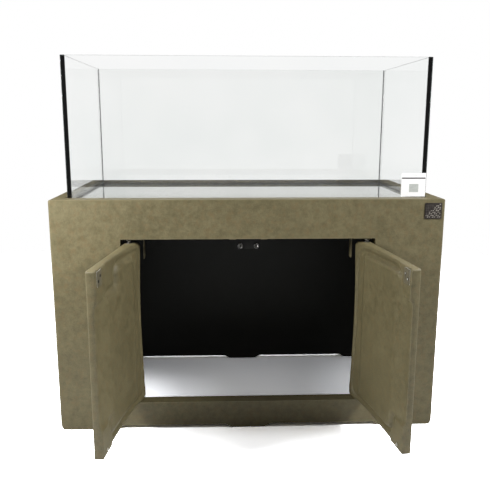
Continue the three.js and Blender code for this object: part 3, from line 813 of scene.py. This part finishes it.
def pot_magnet(side_name):
    """Steel cup with a ceramic ring in it and a countersunk hole."""
    node = f"{side_name}_magnet"
    low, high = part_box(node)
    depth, radius = high.y - low.y, (high.x - low.x) / 2
    place = place_at(Vector((middle_of(node).x, high.y, middle_of(node).z)), (0, -1, 0))
    profile = [(0.0030, 0.0), (radius - 0.0006, 0.0), (radius, 0.0006), (radius, depth - 0.0004),
               (radius - 0.0004, depth), (radius - 0.0013, depth), (radius - 0.0016, depth - 0.0006),
               (0.0052, depth - 0.0006), (0.0050, depth - 0.0002), (0.0034, depth - 0.0016), (0.0030, 0.0)]
    materials = [0, 0, 0, 0, 0, 0, 1, 0, 0, 0]
    piece = new_object(f"{side_name}_pot_magnet", turned(profile, place, 48, materials), [BRIGHT, CERAMIC])
    settle(piece, CABINET_BODY, "bright_steel", node)
    screw(f"{side_name}_magnet_screw_head", f"{side_name}_magnet_screw", (0, -1, 0), CABINET_BODY,
          "dark_steel", BLACKED, 0.0029, 0.0036)


def catch():
    piece = rounded("catch_hanger", "catch_plate", BLACKED, 0.0005, 2)
    settle(piece, CABINET_BODY, "dark_steel", "catch_plate")
    piece = rounded("catch_batten", "catch_block", KHAKI, 0.0012, 3)
    settle(piece, CABINET_BODY, "moulded_khaki", "catch_block")
    for side_name in SIDES:
        pot_magnet(side_name)


def pin(name, node, flange):
    """Turned pivot pin with chamfered ends; flange is its collar's (low, high) height or None."""
    low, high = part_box(node)
    centre = middle_of(node)
    radius, chamfer = 0.005, 0.001
    place = Matrix.Translation((centre.x, centre.y, 0.0))
    profile = [(0.0, low.z), (radius - chamfer, low.z), (radius, low.z + chamfer)]
    if flange:
        collar = (high.x - low.x) / 2
        bottom, top = flange
        profile += [(radius, bottom), (collar - 0.0006, bottom), (collar, bottom + 0.0006),
                    (collar, top - 0.0006), (collar - 0.0006, top), (radius, top)]
    profile += [(radius, high.z - chamfer), (radius - chamfer, high.z), (0.0, high.z)]
    settle(new_object(name, turned(profile, place, 36), [BRIGHT]), CABINET_BODY, "bright_steel", node)


def washer(side_name):
    """Thrust washer under the door: a turned ring with eased edges."""
    node = f"{side_name}_thrust_washer"
    hole, chamfer = 0.0054, 0.0004
    low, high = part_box(node)
    centre = middle_of(node)
    radius = (high.x - low.x) / 2
    place = Matrix.Translation((centre.x, centre.y, 0.0))
    profile = [(hole, low.z + chamfer), (hole + chamfer, low.z), (radius - chamfer, low.z),
               (radius, low.z + chamfer), (radius, high.z - chamfer), (radius - chamfer, high.z),
               (hole + chamfer, high.z), (hole, high.z - chamfer), (hole, low.z + chamfer)]
    piece = new_object(f"{side_name}_pivot_washer", turned(profile, place, 36), [NYLON])
    settle(piece, CABINET_BODY, "nylon", node)


def flanged_bush(side_name, end):
    """Bush with a thin collar at its mouth; the lower collar is thinner, to clear the washer."""
    node = f"{side_name}_{end}_bush"
    low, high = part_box(node)
    centre = middle_of(node)
    hole, radius, collar = 0.0054, 0.0079, 0.0115
    lip = 0.0009 if end == "upper" else 0.00015
    way = 1 if end == "upper" else -1
    mouth, depth = high.z if way > 0 else low.z, high.z - low.z
    place = Matrix.Translation((centre.x, centre.y, mouth)) @ Matrix.Scale(way, 4, (0, 0, 1))
    profile = [(hole, -depth), (radius, -depth), (radius, -0.0002), (collar, -0.0002), (collar, lip * 0.6),
               (collar - 0.0005, lip), (hole + 0.0005, lip), (hole, lip - 0.0004), (hole, -depth)]
    piece = new_object(f"{side_name}_{end}_pivot_bush", turned(profile, place, 36), [NYLON])
    settle(piece, f"{side_name}_door_body", "nylon", node)


def bumper(side_name):
    """Small domed stop on the lower free corner."""
    node = f"{side_name}_bumper"
    inward = door_place(side_name).to_3x3() @ Vector((0, 1, 0))
    height, radius = 0.0030, 0.0050
    base = middle_of(node) - inward * (height / 2)
    profile = [(0.0, 0.0), (radius, 0.0), (radius, 0.0006)]
    profile += [(radius * math.cos(math.radians(t)), 0.0006 + (height - 0.0006) * math.sin(math.radians(t)))
                for t in (15, 30, 45, 60, 75)]
    profile.append((0.0, height))
    piece = new_object(f"{side_name}_door_bumper", turned(profile, place_at(base, inward), 28), [RUBBER])
    settle(piece, f"{side_name}_door_body", "clear_rubber", node)


def hinge_hardware(side_name):
    bracket = rounded(f"{side_name}_pivot_bracket", f"{side_name}_hinge_bracket", PAINT, 0.0007, 2)
    settle(bracket, CABINET_BODY, "painted_khaki", f"{side_name}_hinge_bracket")
    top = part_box(f"{side_name}_hinge_bracket")[1].z - 0.0033
    pin(f"{side_name}_upper_pivot", f"{side_name}_upper_pin", (top - 0.0025, top))
    pin(f"{side_name}_lower_pivot", f"{side_name}_lower_pin", None)
    washer(side_name)
    for number in (1, 2):
        screw(f"{side_name}_bracket_screw_head_{number}", f"{side_name}_bracket_screw_{number}", (0, 0, -1),
              CABINET_BODY, "dark_steel", DARK, 0.004, 0.002)
    for end in ("upper", "lower"):
        flanged_bush(side_name, end)


# ---- badge and label ---------------------------------------------------------
def badge():
    """Dark metal plate: a raised rim round a field of small pyramids, with a painted highlight on the upper
    and left faces of many of them.
    """
    low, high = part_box("badge_plate")
    rim, field, cells = 0.003, 0.0008, 9
    shape = merged("badge_plate")
    round_edges(shape, 0.0004, 2)
    plate = new_object("front_badge", shape, [BADGE])
    pocket = block((low.x + rim, low.y - 0.001, low.z + rim), (high.x - rim, low.y + field, high.z - rim))
    carve(plate, new_object("cutter", pocket, [BADGE]))
    settle(plate, CABINET_BODY, "badge_metal", "badge_plate")
    knurl = bmesh.new()
    width = (high.x - low.x - 2 * rim) / cells
    height = (high.z - low.z - 2 * rim) / cells
    base, tip = low.y + field + 0.0001, low.y + 0.0001
    for i in range(cells):
        for j in range(cells):
            x, z = low.x + rim + i * width, low.z + rim + j * height
            corners = [knurl.verts.new((x + u * width, base, z + v * height))
                       for u, v in ((0.06, 0.06), (0.94, 0.06), (0.94, 0.94), (0.06, 0.94))]
            peak = knurl.verts.new((x + width / 2, tip, z + height / 2))
            knurl.faces.new(corners)
            # Pale facets facing up and left, over one diagonal half of the field: painted highlight.
            lit_facets = i + 1 >= j and (i + j) % 3 != 0
            for k in range(4):
                side = knurl.faces.new((corners[k], corners[(k + 1) % 4], peak))
                side.material_index = 1 if lit_facets and k > 1 else 0
    piece = new_object("badge_knurling", knurl, [BADGE, FACET_HIGHLIGHT], 10.0)
    settle(piece, CABINET_BODY, "badge_metal")


def label():
    """White film on the front pane with a plain bar and a plain square."""
    low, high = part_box("glass_label")
    piece = rounded("pane_label", "glass_label", PAPER, 0.0001, 1)
    settle(piece, CABINET_BODY, "label_film", "glass_label")
    face = low.y
    prints = {
        "label_bar": (INK, (0.02, 0.98), (0.755, 0.815)),
        "label_square": (GREY_INK, (0.33, 0.71), (0.19, 0.54)),
        "label_line_upper": (GREY_INK, (0.36, 0.64), (0.925, 0.940)),
        "label_line_lower": (GREY_INK, (0.30, 0.70), (0.875, 0.888)),
    }
    for name, (material, across, up) in prints.items():
        x0, x1 = (mixed(low.x, high.x, t) for t in across)
        z0, z1 = (mixed(low.z, high.z, t) for t in up)
        shape = block((x0, face - 0.00008, z0), (x1, face - 0.00001, z1))
        settle(new_object(name, shape, [material]), CABINET_BODY, "label_film")


# ---- stage -------------------------------------------------------------------
def camera():
    data = bpy.data.cameras.new("camera")
    data.lens = CAMERA_LENS
    data.sensor_width = SENSOR
    data.clip_start, data.clip_end = 0.05, 100.0
    yaw, pitch, roll = (math.radians(v) for v in (CAMERA_YAW, CAMERA_PITCH, CAMERA_ROLL))
    forward = Vector((math.sin(yaw) * math.cos(pitch), math.cos(yaw) * math.cos(pitch), -math.sin(pitch)))
    right = Vector((math.cos(yaw), -math.sin(yaw), 0.0))
    up = right.cross(forward)
    rolled_right = right * math.cos(roll) + up * math.sin(roll)
    rolled_up = up * math.cos(roll) - right * math.sin(roll)
    made = bpy.data.objects.new("camera", data)
    columns = (rolled_right, rolled_up, -forward, CAMERA_PLACE)
    made.matrix_world = Matrix([[c[row] for c in columns] for row in range(3)] + [[0, 0, 0, 1]])
    bpy.context.scene.collection.objects.link(made)
    bpy.context.scene.camera = made


def soft_light(name, place, target, width, height, power):
    data = bpy.data.lights.new(name, "AREA")
    data.shape = "RECTANGLE"
    data.size, data.size_y = width, height
    data.energy = power
    made = bpy.data.objects.new(name, data)
    made.location = place
    made.rotation_mode = "QUATERNION"
    made.rotation_quaternion = (Vector(target) - Vector(place)).to_track_quat("-Z", "Y")
    made.visible_camera = False
    bpy.context.scene.collection.objects.link(made)


def surroundings():
    """A white backdrop seen directly and through glass, dimmer towards the front where it is mirrored,
    that adds little light."""
    world = bpy.data.worlds.new("studio")
    world.use_nodes = True
    tree = world.node_tree

    def combined(operation, first, second):
        node = tree.nodes.new("ShaderNodeMath")
        node.operation = operation
        tree.links.new(first, node.inputs[0])
        if isinstance(second, float):
            node.inputs[1].default_value = second
        else:
            tree.links.new(second, node.inputs[1])
        return node.outputs["Value"]

    sky = tree.nodes["Background"]
    sky.inputs["Color"].default_value = (1.0, 1.0, 1.0, 1.0)
    path = tree.nodes.new("ShaderNodeLightPath")
    heading = tree.nodes.new("ShaderNodeSeparateXYZ")
    tree.links.new(tree.nodes.new("ShaderNodeTexCoord").outputs["Generated"], heading.inputs["Vector"])
    front = tree.nodes.new("ShaderNodeMapRange")
    for socket, number in (("From Min", -0.9), ("From Max", -0.1), ("To Min", 0.25), ("To Max", 1.0)):
        front.inputs[socket].default_value = number
    tree.links.new(heading.outputs["Y"], front.inputs["Value"])
    mirrored = combined("MULTIPLY", path.outputs["Is Singular Ray"], front.outputs["Result"])
    seen = combined("MAXIMUM", path.outputs["Is Camera Ray"], path.outputs["Is Transmission Ray"])
    strength = combined("MAXIMUM", combined("MAXIMUM", seen, mirrored), AMBIENT)
    tree.links.new(strength, sky.inputs["Strength"])
    bpy.context.scene.world = world
    bpy.context.scene.view_settings.view_transform = "Standard"


def studio():
    shape = bmesh.new()
    bmesh.ops.create_grid(shape, x_segments=8, y_segments=8, size=4.0)
    floor = new_object("floor", shape, [stage_floor()])
    for name, (place, target, width, height, power) in LIGHTS.items():
        soft_light(name, place, target, width, height, power)


camera()
surroundings()
studio()
cabinet_shell()
tank()
for side_name in SIDES:
    door_leaf(side_name)
    strike_plate(side_name)
    bumper(side_name)
    hinge_hardware(side_name)
catch()
badge()
label()
